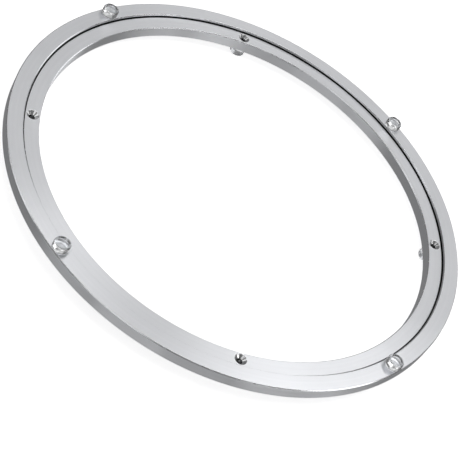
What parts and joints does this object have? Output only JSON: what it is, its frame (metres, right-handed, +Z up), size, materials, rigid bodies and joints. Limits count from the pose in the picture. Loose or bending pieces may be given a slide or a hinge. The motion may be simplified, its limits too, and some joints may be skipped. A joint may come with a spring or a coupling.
{
  "type": "ring turntable bearing",
  "caption": "Flat ring bearing for a banding wheel or turntable: fixed inner ring with countersunk holes, turning outer ring, caged balls, clear pads.",
  "frame": {"origin": "on the turning axis, in the plane of the four feet", "axes": "+Z up along the turning axis, +X through a screw hole of the inner ring"},
  "size_m": [0.3, 0.3, 0.0195],
  "materials": {
    "ring_aluminium": "satin, machined and lightly blasted",
    "plug_aluminium": "satin turned end",
    "ball_steel": "polished",
    "cage_nylon": "black nylon, matt",
    "pad_vinyl": "clear moulded vinyl, glossy"
  },
  "bodies": {
    "fixed_ring": {"inner_ring": "ring_aluminium", "bottom_pad_1": "pad_vinyl", "bottom_pad_2": "pad_vinyl", "bottom_pad_3": "pad_vinyl", "bottom_pad_4": "pad_vinyl"},
    "turning_ring": {"outer_ring": "ring_aluminium", "filler_plug": "plug_aluminium", "top_pad_1": "pad_vinyl", "top_pad_2": "pad_vinyl", "top_pad_3": "pad_vinyl", "top_pad_4": "pad_vinyl"},
    "cage": {"ball_cage": "cage_nylon"},
    "ball_01": {"ball_01": "ball_steel"},
    "ball_02": {"ball_02": "ball_steel"},
    "ball_03": {"ball_03": "ball_steel"},
    "ball_04": {"ball_04": "ball_steel"},
    "ball_05": {"ball_05": "ball_steel"},
    "ball_06": {"ball_06": "ball_steel"},
    "ball_07": {"ball_07": "ball_steel"},
    "ball_08": {"ball_08": "ball_steel"},
    "ball_09": {"ball_09": "ball_steel"},
    "ball_10": {"ball_10": "ball_steel"},
    "ball_11": {"ball_11": "ball_steel"},
    "ball_12": {"ball_12": "ball_steel"},
    "ball_13": {"ball_13": "ball_steel"},
    "ball_14": {"ball_14": "ball_steel"},
    "ball_15": {"ball_15": "ball_steel"},
    "ball_16": {"ball_16": "ball_steel"},
    "ball_17": {"ball_17": "ball_steel"},
    "ball_18": {"ball_18": "ball_steel"},
    "ball_19": {"ball_19": "ball_steel"},
    "ball_20": {"ball_20": "ball_steel"},
    "ball_21": {"ball_21": "ball_steel"},
    "ball_22": {"ball_22": "ball_steel"},
    "ball_23": {"ball_23": "ball_steel"},
    "ball_24": {"ball_24": "ball_steel"},
    "ball_25": {"ball_25": "ball_steel"},
    "ball_26": {"ball_26": "ball_steel"},
    "ball_27": {"ball_27": "ball_steel"},
    "ball_28": {"ball_28": "ball_steel"},
    "ball_29": {"ball_29": "ball_steel"},
    "ball_30": {"ball_30": "ball_steel"},
    "ball_31": {"ball_31": "ball_steel"},
    "ball_32": {"ball_32": "ball_steel"},
    "ball_33": {"ball_33": "ball_steel"},
    "ball_34": {"ball_34": "ball_steel"},
    "ball_35": {"ball_35": "ball_steel"},
    "ball_36": {"ball_36": "ball_steel"}
  },
  "joints": [
    {"name": "ring_turn", "type": "hinge", "parent": "fixed_ring", "child": "turning_ring", "pos_m": [0, 0, 0.00975], "axis": [0, 0, 1], "continuous": true},
    {"name": "cage_orbit", "type": "hinge", "parent": "fixed_ring", "child": "cage", "pos_m": [0, 0, 0.00975], "axis": [0, 0, 1], "continuous": true},
    {"name": "ball_01_spin", "type": "hinge", "parent": "cage", "child": "ball_01", "pos_m": [0.13942, 0, 0.00975], "axis": [0, 0, 1], "continuous": true},
    {"name": "ball_02_spin", "type": "hinge", "parent": "cage", "child": "ball_02", "pos_m": [0.13731, 0.02421, 0.00975], "axis": [0, 0, 1], "continuous": true},
    {"name": "ball_03_spin", "type": "hinge", "parent": "cage", "child": "ball_03", "pos_m": [0.13102, 0.04769, 0.00975], "axis": [0, 0, 1], "continuous": true},
    {"name": "ball_04_spin", "type": "hinge", "parent": "cage", "child": "ball_04", "pos_m": [0.12075, 0.06971, 0.00975], "axis": [0, 0, 1], "continuous": true},
    {"name": "ball_05_spin", "type": "hinge", "parent": "cage", "child": "ball_05", "pos_m": [0.10681, 0.08962, 0.00975], "axis": [0, 0, 1], "continuous": true},
    {"name": "ball_06_spin", "type": "hinge", "parent": "cage", "child": "ball_06", "pos_m": [0.08962, 0.10681, 0.00975], "axis": [0, 0, 1], "continuous": true},
    {"name": "ball_07_spin", "type": "hinge", "parent": "cage", "child": "ball_07", "pos_m": [0.06971, 0.12075, 0.00975], "axis": [0, 0, 1], "continuous": true},
    {"name": "ball_08_spin", "type": "hinge", "parent": "cage", "child": "ball_08", "pos_m": [0.04769, 0.13102, 0.00975], "axis": [0, 0, 1], "continuous": true},
    {"name": "ball_09_spin", "type": "hinge", "parent": "cage", "child": "ball_09", "pos_m": [0.02421, 0.13731, 0.00975], "axis": [0, 0, 1], "continuous": true},
    {"name": "ball_10_spin", "type": "hinge", "parent": "cage", "child": "ball_10", "pos_m": [0, 0.13942, 0.00975], "axis": [0, 0, 1], "continuous": true},
    {"name": "ball_11_spin", "type": "hinge", "parent": "cage", "child": "ball_11", "pos_m": [-0.02421, 0.13731, 0.00975], "axis": [0, 0, 1], "continuous": true},
    {"name": "ball_12_spin", "type": "hinge", "parent": "cage", "child": "ball_12", "pos_m": [-0.04769, 0.13102, 0.00975], "axis": [0, 0, 1], "continuous": true},
    {"name": "ball_13_spin", "type": "hinge", "parent": "cage", "child": "ball_13", "pos_m": [-0.06971, 0.12075, 0.00975], "axis": [0, 0, 1], "continuous": true},
    {"name": "ball_14_spin", "type": "hinge", "parent": "cage", "child": "ball_14", "pos_m": [-0.08962, 0.10681, 0.00975], "axis": [0, 0, 1], "continuous": true},
    {"name": "ball_15_spin", "type": "hinge", "parent": "cage", "child": "ball_15", "pos_m": [-0.10681, 0.08962, 0.00975], "axis": [0, 0, 1], "continuous": true},
    {"name": "ball_16_spin", "type": "hinge", "parent": "cage", "child": "ball_16", "pos_m": [-0.12075, 0.06971, 0.00975], "axis": [0, 0, 1], "continuous": true},
    {"name": "ball_17_spin", "type": "hinge", "parent": "cage", "child": "ball_17", "pos_m": [-0.13102, 0.04769, 0.00975], "axis": [0, 0, 1], "continuous": true},
    {"name": "ball_18_spin", "type": "hinge", "parent": "cage", "child": "ball_18", "pos_m": [-0.13731, 0.02421, 0.00975], "axis": [0, 0, 1], "continuous": true},
    {"name": "ball_19_spin", "type": "hinge", "parent": "cage", "child": "ball_19", "pos_m": [-0.13942, 0, 0.00975], "axis": [0, 0, 1], "continuous": true},
    {"name": "ball_20_spin", "type": "hinge", "parent": "cage", "child": "ball_20", "pos_m": [-0.13731, -0.02421, 0.00975], "axis": [0, 0, 1], "continuous": true},
    {"name": "ball_21_spin", "type": "hinge", "parent": "cage", "child": "ball_21", "pos_m": [-0.13102, -0.04769, 0.00975], "axis": [0, 0, 1], "continuous": true},
    {"name": "ball_22_spin", "type": "hinge", "parent": "cage", "child": "ball_22", "pos_m": [-0.12075, -0.06971, 0.00975], "axis": [0, 0, 1], "continuous": true},
    {"name": "ball_23_spin", "type": "hinge", "parent": "cage", "child": "ball_23", "pos_m": [-0.10681, -0.08962, 0.00975], "axis": [0, 0, 1], "continuous": true},
    {"name": "ball_24_spin", "type": "hinge", "parent": "cage", "child": "ball_24", "pos_m": [-0.08962, -0.10681, 0.00975], "axis": [0, 0, 1], "continuous": true},
    {"name": "ball_25_spin", "type": "hinge", "parent": "cage", "child": "ball_25", "pos_m": [-0.06971, -0.12075, 0.00975], "axis": [0, 0, 1], "continuous": true},
    {"name": "ball_26_spin", "type": "hinge", "parent": "cage", "child": "ball_26", "pos_m": [-0.04769, -0.13102, 0.00975], "axis": [0, 0, 1], "continuous": true},
    {"name": "ball_27_spin", "type": "hinge", "parent": "cage", "child": "ball_27", "pos_m": [-0.02421, -0.13731, 0.00975], "axis": [0, 0, 1], "continuous": true},
    {"name": "ball_28_spin", "type": "hinge", "parent": "cage", "child": "ball_28", "pos_m": [0, -0.13942, 0.00975], "axis": [0, 0, 1], "continuous": true},
    {"name": "ball_29_spin", "type": "hinge", "parent": "cage", "child": "ball_29", "pos_m": [0.02421, -0.13731, 0.00975], "axis": [0, 0, 1], "continuous": true},
    {"name": "ball_30_spin", "type": "hinge", "parent": "cage", "child": "ball_30", "pos_m": [0.04769, -0.13102, 0.00975], "axis": [0, 0, 1], "continuous": true},
    {"name": "ball_31_spin", "type": "hinge", "parent": "cage", "child": "ball_31", "pos_m": [0.06971, -0.12075, 0.00975], "axis": [0, 0, 1], "continuous": true},
    {"name": "ball_32_spin", "type": "hinge", "parent": "cage", "child": "ball_32", "pos_m": [0.08962, -0.10681, 0.00975], "axis": [0, 0, 1], "continuous": true},
    {"name": "ball_33_spin", "type": "hinge", "parent": "cage", "child": "ball_33", "pos_m": [0.10681, -0.08962, 0.00975], "axis": [0, 0, 1], "continuous": true},
    {"name": "ball_34_spin", "type": "hinge", "parent": "cage", "child": "ball_34", "pos_m": [0.12075, -0.06971, 0.00975], "axis": [0, 0, 1], "continuous": true},
    {"name": "ball_35_spin", "type": "hinge", "parent": "cage", "child": "ball_35", "pos_m": [0.13102, -0.04769, 0.00975], "axis": [0, 0, 1], "continuous": true},
    {"name": "ball_36_spin", "type": "hinge", "parent": "cage", "child": "ball_36", "pos_m": [0.13731, -0.02421, 0.00975], "axis": [0, 0, 1], "continuous": true}
  ],
  "couplings": [
    {"joint": "cage_orbit", "follows": "ring_turn", "ratio": 0.50538},
    {"joint": "ball_01_spin", "follows": "ring_turn", "ratio": 46.47},
    {"joint": "ball_02_spin", "follows": "ring_turn", "ratio": 46.47},
    {"joint": "ball_03_spin", "follows": "ring_turn", "ratio": 46.47},
    {"joint": "ball_04_spin", "follows": "ring_turn", "ratio": 46.47},
    {"joint": "ball_05_spin", "follows": "ring_turn", "ratio": 46.47},
    {"joint": "ball_06_spin", "follows": "ring_turn", "ratio": 46.47},
    {"joint": "ball_07_spin", "follows": "ring_turn", "ratio": 46.47},
    {"joint": "ball_08_spin", "follows": "ring_turn", "ratio": 46.47},
    {"joint": "ball_09_spin", "follows": "ring_turn", "ratio": 46.47},
    {"joint": "ball_10_spin", "follows": "ring_turn", "ratio": 46.47},
    {"joint": "ball_11_spin", "follows": "ring_turn", "ratio": 46.47},
    {"joint": "ball_12_spin", "follows": "ring_turn", "ratio": 46.47},
    {"joint": "ball_13_spin", "follows": "ring_turn", "ratio": 46.47},
    {"joint": "ball_14_spin", "follows": "ring_turn", "ratio": 46.47},
    {"joint": "ball_15_spin", "follows": "ring_turn", "ratio": 46.47},
    {"joint": "ball_16_spin", "follows": "ring_turn", "ratio": 46.47},
    {"joint": "ball_17_spin", "follows": "ring_turn", "ratio": 46.47},
    {"joint": "ball_18_spin", "follows": "ring_turn", "ratio": 46.47},
    {"joint": "ball_19_spin", "follows": "ring_turn", "ratio": 46.47},
    {"joint": "ball_20_spin", "follows": "ring_turn", "ratio": 46.47},
    {"joint": "ball_21_spin", "follows": "ring_turn", "ratio": 46.47},
    {"joint": "ball_22_spin", "follows": "ring_turn", "ratio": 46.47},
    {"joint": "ball_23_spin", "follows": "ring_turn", "ratio": 46.47},
    {"joint": "ball_24_spin", "follows": "ring_turn", "ratio": 46.47},
    {"joint": "ball_25_spin", "follows": "ring_turn", "ratio": 46.47},
    {"joint": "ball_26_spin", "follows": "ring_turn", "ratio": 46.47},
    {"joint": "ball_27_spin", "follows": "ring_turn", "ratio": 46.47},
    {"joint": "ball_28_spin", "follows": "ring_turn", "ratio": 46.47},
    {"joint": "ball_29_spin", "follows": "ring_turn", "ratio": 46.47},
    {"joint": "ball_30_spin", "follows": "ring_turn", "ratio": 46.47},
    {"joint": "ball_31_spin", "follows": "ring_turn", "ratio": 46.47},
    {"joint": "ball_32_spin", "follows": "ring_turn", "ratio": 46.47},
    {"joint": "ball_33_spin", "follows": "ring_turn", "ratio": 46.47},
    {"joint": "ball_34_spin", "follows": "ring_turn", "ratio": 46.47},
    {"joint": "ball_35_spin", "follows": "ring_turn", "ratio": 46.47},
    {"joint": "ball_36_spin", "follows": "ring_turn", "ratio": 46.47}
  ]
}
